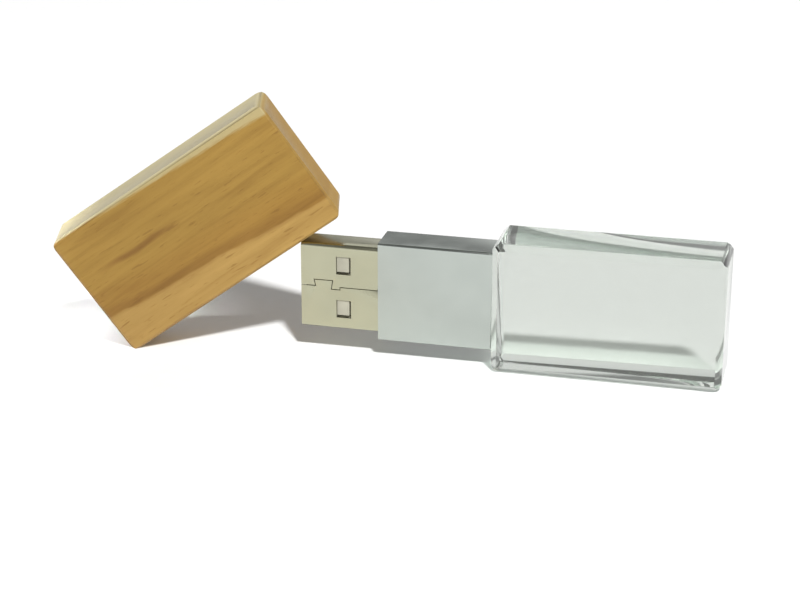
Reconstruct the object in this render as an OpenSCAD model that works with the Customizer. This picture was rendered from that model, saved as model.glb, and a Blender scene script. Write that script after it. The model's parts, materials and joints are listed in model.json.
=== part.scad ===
// USB flash drive: steel plug, metal sleeve, clear crystal block and wooden pull-off cap.
// The drive stands on its long narrow side. The cap is off and leans on the tip of the plug.
// X runs along the drive from the plug to the crystal, Y across its thickness, and Z is up.
// The origin is the middle of the crystal's bottom side. All sizes are in millimetres.

/* [Crystal block] */
// Length along the drive
block_l = 30.6; // [26:0.2:36]
// Height as the drive stands, which is the drive's width
block_h = 18.0; // [16.8:0.2:22]
// Thickness
block_t = 9.2; // [7.6:0.2:12]
// Width of the flat cut along every edge
block_cut = 0.85; // [0.3:0.05:1.2]

/* [Metal sleeve] */
// Length of the sleeve
sleeve_l = 15.6; // [15.6:0.2:18]
// Wall of the sleeve
sleeve_wall = 0.5; // [0.4:0.05:0.8]
// Rounding of the sleeve's long edges
sleeve_edge = 0.35; // [0.2:0.05:0.5]
// Height of the plug's middle line above the middle of the block
plug_rise = 0.3; // [0:0.1:1]

/* [USB plug] */
// Length of the plug in front of the sleeve
plug_out = 10.8; // [10.4:0.1:12]
// Width of the plug's shell
plug_w = 12.0; // [11.9:0.05:12.1]
// Thickness of the plug's shell
plug_t = 4.5; // [4.45:0.05:4.6]
// Sheet thickness of the shell
shell_wall = 0.3; // [0.25:0.05:0.35]
// Outer rounding of the shell's long edges
shell_edge = 0.55; // [0.45:0.05:0.7]
// Distance from the tip to the latch holes
hole_from_tip = 4.9; // [4.6:0.1:5.4]

/* [Wooden cap] */
// Length of the cap
cap_l = 34.6; // [33:0.2:44]
// Width of the cap
cap_w = 18.8; // [17.6:0.2:24]
// Thickness of the cap
cap_t = 7.4; // [7.4:0.1:12]
// Rounding of the cap's four corners
cap_corner = 1.2; // [0.6:0.1:1.8]
// Flat cut along the cap's other edges
cap_cut = 0.35; // [0.2:0.05:0.5]

/* [Leaning pose] */
// Angle of the cap above the table
cap_tilt = 34.5; // [28:0.5:40]
// Turn of the cap away from the drive's length, seen from above
cap_yaw = 14.0; // [6:0.5:20]
// Distance of the cap's front face from the drive's middle plane, at the foot
cap_foot = 8.0; // [7.5:0.1:10]

/* [Hidden] */
$fn = 32;
far = 60; // longer than any cut that runs right through

// Places along the drive, from the sleeve's mouth towards the crystal
bond_t = 0.1;
mouth_x = -block_l / 2 - bond_t - sleeve_l;
axis_z = block_h / 2 + plug_rise;
shell_back = 4.6;
tab_back = 6.2;
board_front = 4.8;
board_back = sleeve_l - 1.2;
window_l = 1.0;

// Sleeve
room_w = plug_w + 0.8;
room_t = plug_t + 0.1;
sleeve_w = room_w + 2 * sleeve_wall;
sleeve_t = room_t + 2 * sleeve_wall;
lip_l = 0.6;
lip_gap = 0.05;

// Plug: the tongue fills the half of the shell that the seam is on
latch_l = 2.0;
latch_w = 2.5;
latch_z = 3.1;
seam_gap = 0.12;
inner_w = plug_w - 2 * shell_wall;
inner_t = plug_t - 2 * shell_wall;
tongue_front = -plug_out + 0.6;
block_front = -0.8;
slip = 0.05;

// Contacts lie on the tongue, two long ones outside two short ones
contact_w = 1.0;
contact_t = 0.2;
contact_back = 6.6;
long_front = tongue_front + 0.7;
short_front = tongue_front + 1.7;
outer_z = 3.5;
inner_z = 1.0;

// Circuit board: its upper face is level with the tongue
board_t = 0.8;
board_w = plug_w - 0.1;
rail_w = 1.0;
rail_front = 6.4;
parts_x = 10.4;
chip_cut = 0.12;
small_cut = 0.1;

// Cap: the pocket takes the sleeve and then the plug
cap_fit = 0.1;
insert_from = sleeve_l + 0.3;
socket_end = sleeve_l + plug_out + 0.2;
pocket_depth = socket_end + 0.6;
pocket_w = sleeve_w + 2 * cap_fit;
pocket_t = sleeve_t + 2 * cap_fit;

// The cap's lower face rests on the upper front corner of the plug's tip, and its foot on the table
lean_gap = 0.05;
lean_x = sin(cap_tilt) * cos(cap_yaw);
lean_y = sin(cap_tilt) * sin(cap_yaw);
lean_z = cos(cap_tilt);
tip_reach = -lean_x * (mouth_x - plug_out) + lean_y * (plug_t / 2 - shell_edge)
    + lean_z * (axis_z + plug_w / 2 - shell_edge) + shell_edge * sqrt(lean_y ^ 2 + lean_z ^ 2);
foot_z = cap_corner * (1 - sin(cap_tilt) - cos(cap_tilt));
foot_x = (lean_z * foot_z + lean_y * cap_foot - tip_reach - lean_gap) / lean_x;

// ---------- Shared shapes ----------

// Rectangle with a flat cut at each corner
module cut_rectangle(size, cut) {
    x = size[0] / 2;
    y = size[1] / 2;
    polygon([
        [cut - x, -y], [x - cut, -y], [x, cut - y], [x, y - cut],
        [x - cut, y], [cut - x, y], [-x, y - cut], [-x, cut - y]
    ]);
}

// Rectangle with round corners
module round_rectangle(size, radius) {
    square([size[0] - 2 * radius, size[1]], center = true);
    square([size[0], size[1] - 2 * radius], center = true);
    for (x = [-1, 1], y = [-1, 1])
        translate([x * (size[0] / 2 - radius), y * (size[1] / 2 - radius)])
            circle(radius);
}

// Extrudes a Y-Z outline along X, starting at x = 0
module along_x(length) {
    rotate([90, 0, 90])
        linear_extrude(length)
            children();
}

// Extrudes an X-Z outline along Y, with its middle at y = 0
module along_y(length) {
    rotate([90, 0, 0])
        linear_extrude(length, center = true)
            children();
}

// Block with a flat cut along all twelve edges, with its middle at the origin
module cut_block(size, cut) {
    intersection() {
        translate([-size[0] / 2, 0, 0])
            along_x(size[0])
                cut_rectangle([size[1], size[2]], cut);
        along_y(size[1])
            cut_rectangle([size[0], size[2]], cut);
        linear_extrude(size[2], center = true)
            cut_rectangle([size[0], size[1]], cut);
    }
}

// Box given by its lowest and highest corners
module box(low, high) {
    translate(low)
        cube(high - low);
}

// Puts a piece of the drive in place: x = 0 is the sleeve's mouth and z = 0 the plug's middle line
module on_drive() {
    translate([mouth_x, 0, axis_z])
        children();
}

// Puts a piece of the cap in place: x = 0 is the cap's mouth, y = 0 its front and z = 0 its lower side
module on_cap() {
    translate([foot_x, -cap_foot, foot_z])
        rotate([0, 0, cap_yaw])
            rotate([0, -cap_tilt, 0])
                children();
}

// ---------- Crystal end ----------

module crystal_block() {
    color([0.85, 0.88, 0.86])
        translate([0, 0, block_h / 2])
            cut_block([block_l, block_t, block_h], block_cut);
}

module bond_film() {
    color([0.93, 0.93, 0.90])
        on_drive()
            translate([sleeve_l, 0, 0])
                along_x(bond_t)
                    round_rectangle([sleeve_t, sleeve_w], sleeve_edge);
}

// ---------- Sleeve ----------

module metal_sleeve() {
    color([0.75, 0.77, 0.75])
        on_drive()
            difference() {
                along_x(sleeve_l)
                    round_rectangle([sleeve_t, sleeve_w], sleeve_edge);
                translate([lip_l, 0, 0])
                    along_x(far)
                        square([room_t, room_w], center = true);
                translate([-1, 0, 0])
                    along_x(far)
                        round_rectangle([plug_t + 2 * lip_gap, plug_w + 2 * lip_gap], shell_edge);
            }
}

module light_window() {
    color([0.92, 0.95, 0.95])
        on_drive()
            translate([sleeve_l - window_l, 0, 0])
                along_x(window_l)
                    square([room_t, room_w], center = true);
}

// ---------- Plug ----------

// Straight slit from one point to another, in the X-Z outline
module slit(from, to) {
    run = to - from;
    translate(from)
        rotate(atan2(run[1], run[0]))
            translate([-seam_gap / 2, -seam_gap / 2])
                square([norm(run) + seam_gap, seam_gap]);
}

// The seam where the bent sheet meets: a straight line that goes round one dovetail tab
module seam_outline() {
    near = -plug_out + 1.8;
    distant = -plug_out + 4.4;
    points = [
        [-plug_out - 1, 0], [near + 0.2, 0], [near, 0.9], [distant, 0.9],
        [distant - 0.2, -0.35], [distant + 1.0, -0.35], [distant + 1.0, 0], [shell_back + 1, 0]
    ];
    for (i = [0 : len(points) - 2])
        slit(points[i], points[i + 1]);
}

module plug_shell() {
    color([0.77, 0.75, 0.66])
        on_drive() {
            difference() {
                translate([-plug_out, 0, 0])
                    along_x(plug_out + shell_back)
                        round_rectangle([plug_t, plug_w], shell_edge);
                translate([-plug_out - 1, 0, 0])
                    along_x(far)
                        round_rectangle([inner_t, inner_w], shell_edge - shell_wall);
                for (z = [-latch_z, latch_z])
                    translate([-plug_out + hole_from_tip, -far / 2, z - latch_w / 2])
                        cube([latch_l, far, latch_w]);
                translate([0, -plug_t / 2, 0])
                    along_y(3 * shell_wall)
                        seam_outline();
            }
            // Two tabs that are soldered to the board
            for (side = [-1, 1])
                translate([shell_back - 0.5, -0.5, side * (plug_w - shell_wall) / 2 - shell_wall / 2])
                    cube([tab_back - shell_back + 0.5, 1, shell_wall]);
        }
}

module plug_insulator() {
    pad = [1.7, 2.1];
    pit_depth = 1.2;
    pit_floor = pit_depth - inner_t / 2;
    pit_from = -plug_out + hole_from_tip;
    color([0.86, 0.86, 0.82])
        on_drive() {
            difference() {
                union() {
                    box([tongue_front, slip - inner_t / 2, slip - inner_w / 2],
                        [shell_back, 0, inner_w / 2 - slip]);
                    box([block_front, -0.2, slip - inner_w / 2],
                        [shell_back, inner_t / 2 - slip, inner_w / 2 - slip]);
                }
                // Channels for the four contacts
                for (z = [-outer_z, -inner_z, inner_z, outer_z])
                    box([block_front - 1, 0, z - contact_w / 2 - slip],
                        [shell_back + 1, contact_t + slip, z + contact_w / 2 + slip]);
                // Pits behind the latch holes on the seam side
                for (z = [-latch_z, latch_z])
                    box([pit_from, -plug_t, z - latch_w / 2],
                        [pit_from + latch_l, pit_floor, z + latch_w / 2]);
            }
            // A pad stands in each pit, a little smaller than the hole
            for (z = [-latch_z, latch_z])
                box([pit_from + slip, 0.1 - plug_t / 2, z + latch_w / 2 - slip - pad[1]],
                    [pit_from + slip + pad[0], pit_floor + 0.1, z + latch_w / 2 - slip]);
        }
}

// One spring strip, from its rounded front end on the tongue to its tail on the board
module contact(front, z) {
    color([0.83, 0.69, 0.35])
        on_drive()
            translate([0, contact_t / 2, z])
                along_y(contact_t) {
                    translate([front + contact_w / 2, 0])
                        circle(contact_w / 2);
                    translate([front + contact_w / 2, -contact_w / 2])
                        square([contact_back - front - contact_w / 2, contact_w]);
                }
}

module contact_power() {
    contact(long_front, -outer_z);
}

module contact_data_minus() {
    contact(short_front, -inner_z);
}

module contact_data_plus() {
    contact(short_front, inner_z);
}

module contact_ground() {
    contact(long_front, outer_z);
}

// ---------- Circuit board and what is on it ----------

module circuit_board() {
    notch_l = tab_back - board_front + 0.1;
    notch_w = 0.7;
    color([0.10, 0.34, 0.22])
        on_drive()
            difference() {
                box([board_front, -board_t, -board_w / 2], [board_back, 0, board_w / 2]);
                for (side = [-1, 1])
                    translate([board_front - 1, -far / 2, (side * board_w - notch_w) / 2])
                        cube([notch_l + 1, far, notch_w]);
            }
}

module memory_chip() {
    size = [6.8, 0.9, 9.0];
    color([0.11, 0.11, 0.12])
        on_drive()
            translate([(rail_front + board_back) / 2, -board_t - size[1] / 2, 0])
                cut_block(size, chip_cut);
}

module controller_chip() {
    size = [4.2, 0.7, 4.2];
    foot_gap = 0.1;
    pin = [0.6, 0.3, 0.24];
    pin_pitch = 0.65;
    pin_row = 2.3;
    color([0.13, 0.13, 0.14])
        on_drive()
            translate([parts_x - 0.2, 0, 0]) {
                translate([0, foot_gap + size[1] / 2, 0])
                    cut_block(size, chip_cut);
                for (side = [-1, 1], i = [-2 : 2])
                    translate([side * pin_row - pin[0] / 2, 0, i * pin_pitch - pin[2] / 2])
                        cube(pin);
            }
}

module timing_crystal() {
    size = [2.5, 0.6, 1.6];
    color([0.78, 0.78, 0.76])
        on_drive()
            translate([parts_x, size[1] / 2, 4.1])
                cut_block(size, small_cut);
}

module regulator() {
    size = [2.6, 0.8, 1.2];
    pin = [0.3, 0.2, 0.5];
    pin_pitch = 0.9;
    pin_from = -1.0;
    color([0.15, 0.15, 0.16])
        on_drive()
            translate([parts_x, 0, -4.2]) {
                translate([0, size[1] / 2, 0])
                    cut_block(size, small_cut);
                for (i = [-1 : 1])
                    translate([i * pin_pitch - pin[0] / 2, 0, pin_from])
                        cube(pin);
            }
}

module edge_lights() {
    size = [1.0, 0.6, 1.6];
    light_z = 3.2;
    color([0.90, 0.92, 0.95])
        on_drive()
            for (z = [-light_z, light_z])
                translate([board_back - size[0] / 2, size[1] / 2, z])
                    cut_block(size, 0.08);
}

// Row of small ceramic chips that stand across the board
module chip_row(size, places) {
    for (place = places)
        translate([place[0], size[1] / 2, place[1]])
            cut_block(size, 0.05);
}

module resistors() {
    color([0.16, 0.16, 0.18])
        on_drive()
            chip_row([0.6, 0.35, 1.0], [[7.2, -2.6], [7.2, -0.9], [7.2, 0.9], [13.2, 0.0]]);
}

module capacitors() {
    color([0.62, 0.50, 0.36])
        on_drive()
            chip_row([0.6, 0.5, 1.0], [[7.2, 2.6], [7.2, 4.4], [7.2, -4.4], [12.8, 4.6]]);
}

module solder_joints() {
    joint_l = contact_back - board_front - 0.5;
    half = contact_w / 2;
    spread = 0.25;
    rise = contact_t + 0.15;
    color([0.72, 0.73, 0.75])
        on_drive()
            for (z = [-outer_z, -inner_z, inner_z, outer_z])
                translate([board_front + 0.3, 0, z])
                    difference() {
                        along_x(joint_l)
                            polygon([
                                [0, -half - spread], [rise, -half * 0.6],
                                [rise, half * 0.6], [0, half + spread]
                            ]);
                        box([-1, -1, -half], [far, contact_t, half]);
                    }
}

// Rail along one side of the board, with a slot that holds the board's edge
module carrier(side) {
    slot_edge = side * (board_w - room_w + rail_w) / 2;
    color([0.90, 0.90, 0.88])
        on_drive()
            translate([rail_front, 0, side * (room_w / 2 - rail_w / 2)])
                difference() {
                    translate([0, -room_t / 2, -rail_w / 2])
                        cube([sleeve_l - window_l - rail_front, room_t, rail_w]);
                    translate([-1, -board_t, slot_edge - side * far / 2 - far / 2])
                        cube([board_back - rail_front + 1, board_t, far]);
                }
}

module carrier_upper() {
    carrier(1);
}

module carrier_lower() {
    carrier(-1);
}

// ---------- Cap ----------

module cap_body() {
    size = [cap_l, cap_t, cap_w];
    color([0.72, 0.56, 0.30])
        on_cap()
            translate(size / 2)
                difference() {
                    intersection() {
                        along_y(cap_t)
                            round_rectangle([cap_l, cap_w], cap_corner);
                        translate([-cap_l / 2, 0, 0])
                            along_x(cap_l)
                                cut_rectangle([cap_t, cap_w], cap_cut);
                        linear_extrude(cap_w, center = true)
                            cut_rectangle([cap_l, cap_t], cap_cut);
                    }
                    translate([-cap_l / 2 - 1, 0, 0])
                        along_x(pocket_depth + 1)
                            round_rectangle([pocket_t, pocket_w], sleeve_edge);
                }
}

module cap_insert() {
    color([0.20, 0.19, 0.18])
        on_cap()
            translate([insert_from, cap_t / 2, cap_w / 2])
                difference() {
                    along_x(pocket_depth - insert_from)
                        round_rectangle([pocket_t - 2 * slip, pocket_w - 2 * slip], sleeve_edge);
                    translate([-1, 0, 0])
                        along_x(socket_end - insert_from + 1)
                            round_rectangle([plug_t + 0.2, plug_w + 0.2], shell_edge);
                }
}

crystal_block();
bond_film();
metal_sleeve();
light_window();
plug_shell();
plug_insulator();
contact_power();
contact_data_minus();
contact_data_plus();
contact_ground();
circuit_board();
memory_chip();
controller_chip();
timing_crystal();
regulator();
edge_lights();
resistors();
capacitors();
solder_joints();
carrier_upper();
carrier_lower();
cap_body();
cap_insert();
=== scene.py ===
"""Looks, studio and camera for a USB flash drive with a crystal block and a wooden cap.

The frame is in metres: X runs along the drive from the plug to the crystal, Y across its
thickness, and Z is up. The drive stands on its long narrow side and the cap leans on the plug.
"""
import json
import math

import bmesh
import bpy
from mathutils import Matrix, Vector


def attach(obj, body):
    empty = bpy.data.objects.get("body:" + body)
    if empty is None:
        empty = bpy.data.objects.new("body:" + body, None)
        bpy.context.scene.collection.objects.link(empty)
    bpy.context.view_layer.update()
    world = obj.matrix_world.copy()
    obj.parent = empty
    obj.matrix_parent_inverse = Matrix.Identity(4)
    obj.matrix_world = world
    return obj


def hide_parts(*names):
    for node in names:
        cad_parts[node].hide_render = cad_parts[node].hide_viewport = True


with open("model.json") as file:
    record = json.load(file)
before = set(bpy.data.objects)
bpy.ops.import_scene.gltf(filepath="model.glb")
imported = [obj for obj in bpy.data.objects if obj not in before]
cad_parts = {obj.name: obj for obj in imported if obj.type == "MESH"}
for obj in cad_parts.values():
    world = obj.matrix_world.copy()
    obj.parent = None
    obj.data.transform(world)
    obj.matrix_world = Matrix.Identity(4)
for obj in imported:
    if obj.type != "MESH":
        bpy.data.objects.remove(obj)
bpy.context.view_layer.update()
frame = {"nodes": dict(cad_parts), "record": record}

MM = 0.001
FAR = 999.0  # past every length in the object, in millimetres
SLOT_OF = {part["node"]: part["material_slot"] for part in frame["record"]["subparts"]}
BODY_OF = {
    node: body
    for body, nodes in frame["record"]["behaviour"]["bodies"].items()
    for node in nodes
}


# ---------- The cap's frame ----------

def facing(mesh):
    """The mesh's face directions, each standing for its opposite too, with the largest area first."""
    areas = {}
    for polygon in mesh.polygons:
        normal = polygon.normal
        if max(normal, key=abs) < 0:
            normal = -normal
        key = tuple(round(c, 2) for c in normal)
        total, direction = areas.get(key, (0.0, normal.copy()))
        areas[key] = (total + polygon.area, direction)
    ranked = sorted(areas.values(), key=lambda entry: -entry[0])
    return [direction.normalized() for _, direction in ranked]


def cap_frame():
    """The cap's own frame and its length in millimetres, so that the grain can follow the cap.

    X runs along the cap from its foot, Y through its thickness and Z across its width. The origin
    is the lower front corner at the foot.
    """
    mesh = frame["nodes"]["cap_body"].data
    directions = facing(mesh)
    thick = directions[0] if directions[0].y > 0 else -directions[0]
    across = next(d for d in directions if abs(d.dot(thick)) < 0.01)
    across = across if across.z > 0 else -across
    along = thick.cross(across)
    corners = [v.co for v in mesh.vertices]
    low = [min(c.dot(axis) for c in corners) for axis in (along, thick, across)]
    matrix = Matrix((along, thick, across)).transposed().to_4x4()
    matrix.translation = along * low[0] + thick * low[1] + across * low[2]
    length = (max(c.dot(along) for c in corners) - low[0]) / MM
    return matrix, length


CAP, CAP_LENGTH = cap_frame()


# ---------- Shader helpers ----------

def add(tree, kind, sockets=None, **settings):
    """Adds a shader node. A socket's value is a number, a colour or another node's output."""
    made = tree.nodes.new(kind)
    for name, value in settings.items():
        setattr(made, name, value)
    for name, value in (sockets or {}).items():
        if isinstance(value, bpy.types.NodeSocket):
            tree.links.new(value, made.inputs[name])
        else:
            made.inputs[name].default_value = value
    return made


def new_material(name):
    """An empty material with its output node."""
    material = bpy.data.materials.new(name)
    material.use_nodes = True
    tree = material.node_tree
    tree.nodes.clear()
    return material, tree, tree.nodes.new("ShaderNodeOutputMaterial")


def place(tree, scale=(1, 1, 1), turn=(0, 0, 0)):
    """The piece's own coordinates in millimetres, stretched by scale and turned by degrees."""
    coordinates = add(tree, "ShaderNodeTexCoord").outputs["Object"]
    return add(
        tree, "ShaderNodeMapping",
        {
            "Vector": coordinates,
            "Scale": [s / MM for s in scale],
            "Rotation": [math.radians(a) for a in turn],
        },
    ).outputs["Vector"]


def noise(tree, vector, scale, detail=3.0, rough=0.5, distort=0.0):
    """Fractal noise; scale is in cycles a millimetre."""
    return add(
        tree, "ShaderNodeTexNoise",
        {"Vector": vector, "Scale": scale, "Detail": detail, "Roughness": rough, "Distortion": distort},
    ).outputs["Fac"]


def remap(tree, value, low, high, to_low, to_high):
    """Maps low..high to to_low..to_high and clamps."""
    return add(
        tree, "ShaderNodeMapRange",
        {"Value": value, "From Min": low, "From Max": high, "To Min": to_low, "To Max": to_high},
    ).outputs["Result"]


def window(tree, value, low, high, fade):
    """One between low and high, falling smoothly to nought over fade on either side."""
    rise = add(
        tree, "ShaderNodeMapRange",
        {"Value": value, "From Min": low - fade, "From Max": low, "To Min": 0.0, "To Max": 1.0},
        interpolation_type="SMOOTHSTEP",
    ).outputs["Result"]
    fall = add(
        tree, "ShaderNodeMapRange",
        {"Value": value, "From Min": high, "From Max": high + fade, "To Min": 1.0, "To Max": 0.0},
        interpolation_type="SMOOTHSTEP",
    ).outputs["Result"]
    return math_node(tree, "MULTIPLY", rise, fall)


def math_node(tree, operation, first, second=0.0):
    """One arithmetic step."""
    made = add(tree, "ShaderNodeMath", operation=operation)
    for index, value in enumerate((first, second)):
        if isinstance(value, bpy.types.NodeSocket):
            tree.links.new(value, made.inputs[index])
        else:
            made.inputs[index].default_value = value
    return made.outputs["Value"]


def ramp(tree, value, stops):
    """A colour ramp; stops are (place, colour) pairs."""
    made = add(tree, "ShaderNodeValToRGB", {"Fac": value})
    elements = made.color_ramp.elements
    while len(elements) < len(stops):
        elements.new(1.0)
    for element, (position, colour) in zip(elements, stops):
        element.position = position
        element.color = (*colour, 1.0)
    return made.outputs["Color"]


def mix_colour(tree, amount, first, second, blend="MIX"):
    """Mixes two colours; each is a colour or an output."""
    made = add(tree, "ShaderNodeMix", data_type="RGBA", blend_type=blend)
    for name, value in (("Factor", amount), ("A", first), ("B", second)):
        socket = [s for s in made.inputs if s.name == name and s.enabled][0]
        if isinstance(value, bpy.types.NodeSocket):
            tree.links.new(value, socket)
        elif name == "Factor":
            socket.default_value = value
        else:
            socket.default_value = (*value, 1.0)
    return [s for s in made.outputs if s.enabled][0]


def bump(tree, height, strength, depth_mm):
    """A normal from a height, in millimetres."""
    sockets = {"Height": height, "Strength": strength, "Distance": depth_mm * MM}
    return add(tree, "ShaderNodeBump", sockets).outputs["Normal"]


def principled(tree, out, colour, roughness, normal=None, **fixed):
    """The surface shader. Names in fixed are written with _ for a space."""
    sockets = {"Roughness": roughness}
    sockets["Base Color"] = colour if isinstance(colour, bpy.types.NodeSocket) else (*colour, 1.0)
    if normal is not None:
        sockets["Normal"] = normal
    for name, value in fixed.items():
        sockets[name.replace("_", " ")] = value
    shader = add(tree, "ShaderNodeBsdfPrincipled", sockets)
    tree.links.new(shader.outputs["BSDF"], out.inputs["Surface"])
    return shader


# ---------- Materials ----------

def wood_colour(tree, along, across, streaks, fine):
    """The broad sides: paler below a dark ring line, golden above it, with one short dark streak."""
    low_wood = (0.375, 0.228, 0.062)
    heart_wood = (0.292, 0.160, 0.029)
    high_wood = (0.305, 0.178, 0.034)
    ring_brown = (0.205, 0.098, 0.017)
    streak_brown = (0.180, 0.080, 0.014)
    dash_brown = (0.175, 0.080, 0.014)
    wave = noise(tree, place(tree, (0.07, 0.10, 0.20)), 1.0, 3.0, 0.6)
    level = math_node(tree, "ADD", across, remap(tree, wave, 0.2, 0.8, -0.7, 0.7))
    ring = math_node(tree, "ADD", level, math_node(tree, "MULTIPLY", along, 0.07))
    colour = mix_colour(tree, window(tree, ring, 6.0, FAR, 0.25), low_wood, heart_wood)
    colour = mix_colour(tree, window(tree, ring, 11.5, FAR, 4.0), colour, high_wood)
    line = math_node(tree, "MULTIPLY", window(tree, ring, 6.2, 6.5, 0.9), 0.55)
    colour = mix_colour(tree, line, colour, ring_brown)
    stretch = window(tree, along, 7.0, 12.0, 5.0)
    streak = math_node(tree, "MULTIPLY", stretch, window(tree, level, 11.9, 12.1, 0.6))
    colour = mix_colour(tree, math_node(tree, "MULTIPLY", streak, 0.75), colour, streak_brown)
    tone = ramp(tree, streaks, [
        (0.32, (0.84, 0.80, 0.74)), (0.50, (0.98, 0.98, 0.96)), (0.66, (1.07, 1.08, 1.10)),
    ])
    colour = mix_colour(tree, 1.0, colour, tone, "MULTIPLY")
    pores = ramp(tree, fine, [(0.30, (0.70, 0.60, 0.50)), (0.42, (1.0, 1.0, 1.0))])
    colour = mix_colour(tree, 0.75, colour, pores, "MULTIPLY")
    dashes = noise(tree, place(tree, (0.30, 1.2, 2.2)), 1.0, 2.0, 0.5)
    middle = window(tree, across, 1.0, 14.0, 3.0)
    marks = math_node(tree, "MULTIPLY", window(tree, dashes, 0.685, 9.0, 0.05), middle)
    return mix_colour(tree, math_node(tree, "MULTIPLY", marks, 0.45), colour, dash_brown)


def wood_material():
    """Oiled golden hardwood, with the cap's upper side painted pale as a painted sheen.

    In the cap's own frame X runs along the grain from the mouth, Y through the thickness and
    Z across the width. Lengths are in millimetres.
    """
    material, tree, out = new_material("cap_wood")
    axes = add(tree, "ShaderNodeSeparateXYZ", {"Vector": place(tree)}).outputs
    along, across = axes["X"], axes["Z"]
    streaks = noise(tree, place(tree, (0.06, 0.40, 0.85)), 1.0, 5.0, 0.6, 0.4)
    fine = noise(tree, place(tree, (0.28, 1.6, 2.6)), 1.3, 5.0, 0.65)
    colour = wood_colour(tree, along, across, streaks, fine)
    # A ragged pale sliver runs along the broad sides below the upper edge, wider towards the closed end
    ragged = math_node(tree, "MULTIPLY", math_node(tree, "ADD", fine, streaks), 0.9)
    slope = math_node(tree, "MULTIPLY", along, 0.045)
    edge = math_node(tree, "ADD", math_node(tree, "ADD", across, ragged), slope)
    colour = mix_colour(tree, window(tree, edge, 20.1, FAR, 0.6), colour, (0.40, 0.32, 0.150))
    # The closed end is even and has the colour of the broad sides
    end = window(tree, along, CAP_LENGTH - 0.1, FAR, 0.2)
    colour = mix_colour(tree, math_node(tree, "MULTIPLY", end, 0.7), colour, (0.330, 0.200, 0.050))
    # The upper side is painted pale all over, a painted sheen
    colour = mix_colour(tree, window(tree, across, 18.7, FAR, 0.2), colour, (0.50, 0.435, 0.26))
    height = math_node(tree, "ADD", fine, math_node(tree, "MULTIPLY", streaks, 0.6))
    principled(
        tree, out, colour, remap(tree, fine, 0.3, 0.7, 0.58, 0.44), bump(tree, height, 0.25, 0.04),
        Coat_Weight=0.05, Coat_Roughness=0.4, Specular_IOR_Level=0.3,
    )
    return material


def crystal_material():
    """Polished clear block with a faint green-grey tint.

    Its shadow is tinted by where the lamp's light crosses the surface. Most of it lets the light
    through. The upper back, and the base with the lower front, turn it away.
    """
    material, tree, out = new_material("crystal")
    most = (0.84, 0.87, 0.85)
    upper_back = (0.12, 0.13, 0.12)
    lower_front = (0.16, 0.20, 0.18)
    smudge = noise(tree, place(tree, (1, 1, 1)), 0.35, 4.0, 0.6)
    glass = principled(
        tree, out, (0.64, 0.675, 0.635), remap(tree, smudge, 0.45, 0.75, 0.0, 0.02),
        Transmission_Weight=1.0, IOR=1.5,
    )
    axes = add(tree, "ShaderNodeSeparateXYZ", {"Vector": place(tree)}).outputs
    high = remap(tree, axes["Z"], 11.2, 12.4, 0.0, 1.0)
    back = math_node(tree, "GREATER_THAN", axes["Y"], 4.5)
    low = math_node(tree, "LESS_THAN", axes["Z"], 4.0)
    base = math_node(tree, "MULTIPLY", low, math_node(tree, "LESS_THAN", axes["Y"], 4.2))
    shade = mix_colour(tree, math_node(tree, "MULTIPLY", high, back), most, upper_back)
    shade = mix_colour(tree, base, shade, lower_front)
    clear = add(tree, "ShaderNodeBsdfTransparent", {"Color": shade})
    path = add(tree, "ShaderNodeLightPath")
    mixed = add(tree, "ShaderNodeMixShader", {"Fac": path.outputs["Is Shadow Ray"]})
    tree.links.new(glass.outputs["BSDF"], mixed.inputs[1])
    tree.links.new(clear.outputs["BSDF"], mixed.inputs[2])
    tree.links.new(mixed.outputs["Shader"], out.inputs["Surface"])
    return material


def clear_plastic(name, colour):
    """Clear moulded plastic or cured adhesive."""
    material, tree, out = new_material(name)
    haze = noise(tree, place(tree), 1.2, 3.0)
    rough = remap(tree, haze, 0.3, 0.7, 0.02, 0.12)
    principled(tree, out, colour, rough, Transmission_Weight=1.0, IOR=1.48)
    return material


def metal_material(name, colour, roughness, brush, mottle=0.06):
    """Sheet metal with faint brush lines along X and soft mottling."""
    material, tree, out = new_material(name)
    lines = noise(tree, place(tree, (0.08, brush, brush)), 4.0, 4.0, 0.6)
    cloud = noise(tree, place(tree), 0.22, 3.0, 0.55)
    darker = tuple(c * (1 - mottle) for c in colour)
    lighter = tuple(min(1.0, c * (1 + mottle)) for c in colour)
    tint = ramp(tree, cloud, [(0.35, darker), (0.65, lighter)])
    rough = math_node(
        tree, "ADD",
        remap(tree, lines, 0.3, 0.7, roughness * 0.85, roughness * 1.15),
        remap(tree, cloud, 0.4, 0.8, -0.02, 0.05),
    )
    principled(tree, out, tint, rough, bump(tree, lines, 0.06, 0.01), Metallic=1.0)
    return material


def plastic_material(name, colour, roughness, grain=6.0, depth_mm=0.01):
    """Moulded plastic, epoxy or ceramic with a fine grained skin."""
    material, tree, out = new_material(name)
    skin = noise(tree, place(tree), grain, 4.0, 0.6)
    cloud = noise(tree, place(tree), 0.4, 2.0)
    darker = tuple(c * 0.9 for c in colour)
    lighter = tuple(min(1.0, c * 1.06) for c in colour)
    tint = ramp(tree, cloud, [(0.3, darker), (0.7, lighter)])
    principled(
        tree, out, tint, remap(tree, skin, 0.3, 0.7, roughness - 0.06, roughness + 0.08),
        bump(tree, skin, 0.3, depth_mm),
    )
    return material


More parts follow.
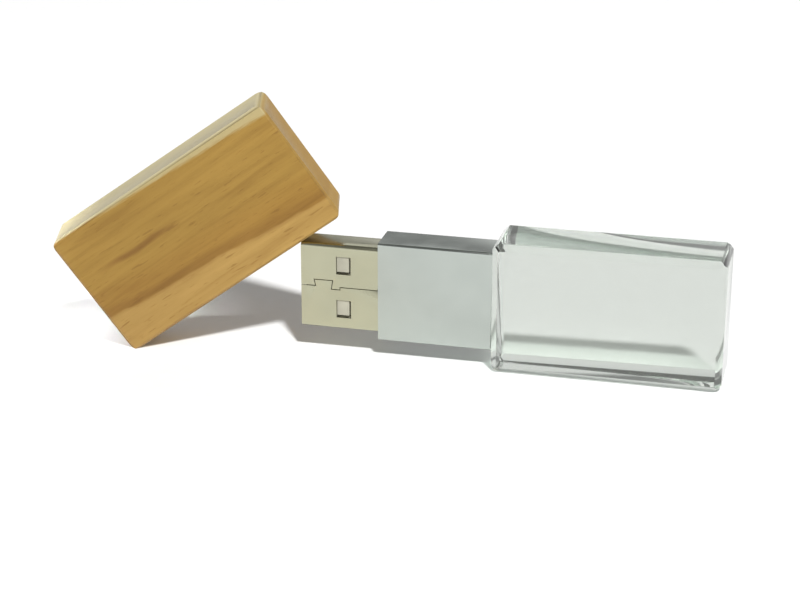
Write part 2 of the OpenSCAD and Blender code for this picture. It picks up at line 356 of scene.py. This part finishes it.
def board_material():
    """Green solder mask over copper tracks."""
    material, tree, out = new_material("board_green")
    tracks = add(
        tree, "ShaderNodeTexBrick",
        {
            "Vector": place(tree, (1, 1, 1), (90, 0, 0)),
            "Color1": (0.0, 0.0, 0.0, 1.0),
            "Color2": (0.0, 0.0, 0.0, 1.0),
            "Mortar": (1.0, 1.0, 1.0, 1.0),
            "Scale": 1.0, "Mortar Size": 0.06, "Brick Width": 1.9, "Row Height": 0.45,
        },
        offset=0.37,
    ).outputs["Color"]
    weave = noise(tree, place(tree), 5.0, 3.0)
    mask = ramp(tree, weave, [(0.3, (0.012, 0.085, 0.045)), (0.7, (0.02, 0.13, 0.07))])
    colour = mix_colour(tree, tracks, mask, (0.05, 0.24, 0.12))
    height = add(tree, "ShaderNodeRGBToBW", {"Color": tracks}).outputs["Val"]
    principled(
        tree, out, colour, remap(tree, weave, 0.3, 0.7, 0.24, 0.36), bump(tree, height, 0.5, 0.03),
        Coat_Weight=0.4, Coat_Roughness=0.2,
    )
    return material


def light_material():
    """White package with a pale yellow mottle."""
    material, tree, out = new_material("light_white")
    skin = noise(tree, place(tree), 7.0, 3.0)
    tint = ramp(tree, skin, [(0.35, (0.74, 0.70, 0.50)), (0.65, (0.85, 0.84, 0.74))])
    principled(tree, out, tint, remap(tree, skin, 0.3, 0.7, 0.25, 0.4), bump(tree, skin, 0.2, 0.01))
    return material


MATERIALS = {
    "crystal": crystal_material(),
    "bond": clear_plastic("bond", (0.97, 0.97, 0.95)),
    "window": clear_plastic("window", (0.95, 0.98, 0.98)),
    "sleeve_metal": metal_material("sleeve_metal", (0.485, 0.525, 0.49), 0.13, 1.0, 0.03),
    "plug_steel": metal_material("plug_steel", (0.49, 0.485, 0.35), 0.17, 0.5, 0.03),
    "plug_plastic": plastic_material("plug_plastic", (0.42, 0.405, 0.32), 0.42),
    "contact_gold": metal_material("contact_gold", (0.86, 0.60, 0.23), 0.18, 3.0, 0.08),
    "board_green": board_material(),
    "chip_black": plastic_material("chip_black", (0.022, 0.022, 0.024), 0.55, 9.0, 0.02),
    "can_metal": metal_material("can_metal", (0.72, 0.72, 0.70), 0.2, 2.0),
    "light_white": light_material(),
    "ceramic_dark": plastic_material("ceramic_dark", (0.045, 0.045, 0.05), 0.35, 8.0),
    "ceramic_tan": plastic_material("ceramic_tan", (0.40, 0.27, 0.15), 0.4, 8.0),
    "solder": metal_material("solder", (0.66, 0.67, 0.69), 0.24, 1.0, 0.1),
    "carrier_white": plastic_material("carrier_white", (0.72, 0.72, 0.69), 0.45),
    "cap_wood": wood_material(),
    "insert_plastic": plastic_material("insert_plastic", (0.018, 0.018, 0.018), 0.45, 5.0, 0.02),
}


# ---------- Pieces ----------

def soft_edged(node, width_mm, segments=2, local=None):
    """A copy of a CAD node with its sharp edges rounded, which then stands for the node."""
    source = frame["nodes"][node]
    mesh = bpy.data.meshes.new(node + "_look")
    work = bmesh.new()
    work.from_mesh(source.data)
    bmesh.ops.remove_doubles(work, verts=work.verts, dist=1e-7)
    bmesh.ops.dissolve_limit(work, angle_limit=math.radians(0.5), verts=work.verts, edges=work.edges)
    if local is not None:
        bmesh.ops.transform(work, matrix=local.inverted(), verts=work.verts)
    work.to_mesh(mesh)
    work.free()
    for polygon in mesh.polygons:
        polygon.use_smooth = True
        polygon.material_index = 0
    piece = bpy.data.objects.new(node + "_look", mesh)
    bpy.context.scene.collection.objects.link(piece)
    modifier = piece.modifiers.new("edges", "BEVEL")
    modifier.width = width_mm * MM
    modifier.segments = segments
    modifier.limit_method = "ANGLE"
    modifier.angle_limit = math.radians(35)
    modifier.harden_normals = True
    modifier.use_clamp_overlap = True
    bpy.context.view_layer.update()
    shaped = piece.evaluated_get(bpy.context.evaluated_depsgraph_get())
    piece.data = bpy.data.meshes.new_from_object(shaped)
    piece.modifiers.clear()
    piece.data.materials.clear()
    piece.data.materials.append(MATERIALS[SLOT_OF[node]])
    if local is not None:
        piece.matrix_world = local
    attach(piece, BODY_OF[node])
    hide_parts(node)


EDGE_MM = {
    "crystal_block": 0.05, "bond_film": 0.02, "metal_sleeve": 0.08, "light_window": 0.05,
    "plug_shell": 0.03, "cap_body": 0.16, "cap_insert": 0.15,
}
SMALL_EDGE_MM = 0.04
for node in sorted(frame["nodes"]):
    in_cap = BODY_OF[node] == "cap"
    soft_edged(node, EDGE_MM.get(node, SMALL_EDGE_MM), 3 if in_cap else 2, CAP if in_cap else None)


# ---------- Studio ----------

def floor():
    """A plain pale table top, just clear of the base."""
    half = 3.0
    low = -0.03 * MM
    corners = [(-half, -half, low), (half, -half, low), (half, half, low), (-half, half, low)]
    mesh = bpy.data.meshes.new("floor")
    mesh.from_pydata(corners, [], [(0, 1, 2, 3)])
    piece = bpy.data.objects.new("floor", mesh)
    bpy.context.scene.collection.objects.link(piece)
    material, tree, out = new_material("floor")
    paper = noise(tree, place(tree), 0.5, 3.0)
    tint = ramp(tree, paper, [(0.3, (0.88, 0.88, 0.88)), (0.7, (0.90, 0.90, 0.90))])
    principled(tree, out, tint, 0.8, Specular_IOR_Level=0.2)
    mesh.materials.append(material)


def sky():
    """A pale sweep low down, a softbox high behind the drive and grey above."""
    world = bpy.data.worlds.new("studio")
    bpy.context.scene.world = world
    world.use_nodes = True
    tree = world.node_tree
    tree.nodes.clear()
    out = tree.nodes.new("ShaderNodeOutputWorld")
    direction = add(tree, "ShaderNodeTexCoord").outputs["Generated"]
    axes = add(tree, "ShaderNodeSeparateXYZ", {"Vector": direction}).outputs
    room = ramp(tree, axes["Z"], [
        (0.00, (1.0, 1.0, 1.0)), (0.16, (0.90, 0.90, 0.90)), (0.30, (0.36, 0.36, 0.36)),
        (0.42, (0.24, 0.24, 0.24)), (1.00, (0.16, 0.16, 0.155)),
    ])
    softbox = ramp(tree, axes["Z"], [
        (0.38, (0.0, 0.0, 0.0)), (0.44, (1.0, 1.0, 1.0)),
        (0.60, (1.0, 1.0, 1.0)), (0.68, (0.0, 0.0, 0.0)),
    ])
    behind = remap(tree, axes["Y"], 0.30, 0.55, 0.0, 1.0)
    shade = mix_colour(tree, math_node(tree, "MULTIPLY", softbox, behind), room, (0.95, 0.95, 0.95))
    background = add(tree, "ShaderNodeBackground", {"Color": shade, "Strength": 1.0})
    tree.links.new(background.outputs["Background"], out.inputs["Surface"])


def lamp(name, target, direction, distance, size, power, spread=180):
    """A round lamp that looks at a target from a direction. Spread narrows its beam, in degrees."""
    data = bpy.data.lights.new(name, "AREA")
    data.shape = "DISK"
    data.size = size
    data.energy = power
    data.spread = math.radians(spread)
    data.cycles.use_multiple_importance_sampling = False
    made = bpy.data.objects.new(name, data)
    bpy.context.scene.collection.objects.link(made)
    toward = Vector(direction).normalized()
    made.location = Vector(target) + toward * distance
    made.rotation_euler = toward.to_track_quat("Z", "Y").to_euler()


def camera(place_at, pitch, yaw, lens):
    """Camera that looks down by pitch and turns from +Y towards +X by yaw, in degrees."""
    down = math.radians(pitch)
    turn = math.radians(yaw)
    forward = Vector((math.sin(turn) * math.cos(down), math.cos(turn) * math.cos(down), -math.sin(down)))
    right = Vector((math.cos(turn), -math.sin(turn), 0))
    matrix = Matrix((right, right.cross(forward), -forward)).transposed().to_4x4()
    matrix.translation = Vector(place_at)
    data = bpy.data.cameras.new("camera")
    data.sensor_width = 36
    data.lens = lens
    data.clip_start = 0.01
    made = bpy.data.objects.new("camera", data)
    bpy.context.scene.collection.objects.link(made)
    made.matrix_world = matrix
    bpy.context.scene.camera = made


floor()
sky()
lamp(
    "key", target=(0, 0.03, 0), direction=(0.295, -0.479, 0.826),
    distance=5.0, size=0.45, power=270,
)
# The fill washes out the shadow to the left of the cap's foot and reaches little else
lamp(
    "fill", target=(-0.0745, -0.0005, 0), direction=(-0.5, -0.33, 0.8),
    distance=0.12, size=0.006, power=0.0015, spread=16,
)
camera(place_at=(0.03717, -0.26892, 0.11459), pitch=21.17, yaw=-13.75, lens=99.0)
scene = bpy.context.scene
scene.view_settings.view_transform = "Standard"
# Light crosses the crystal's facets many times
scene.cycles.max_bounces = 24
scene.cycles.glossy_bounces = 16
scene.cycles.transmission_bounces = 24
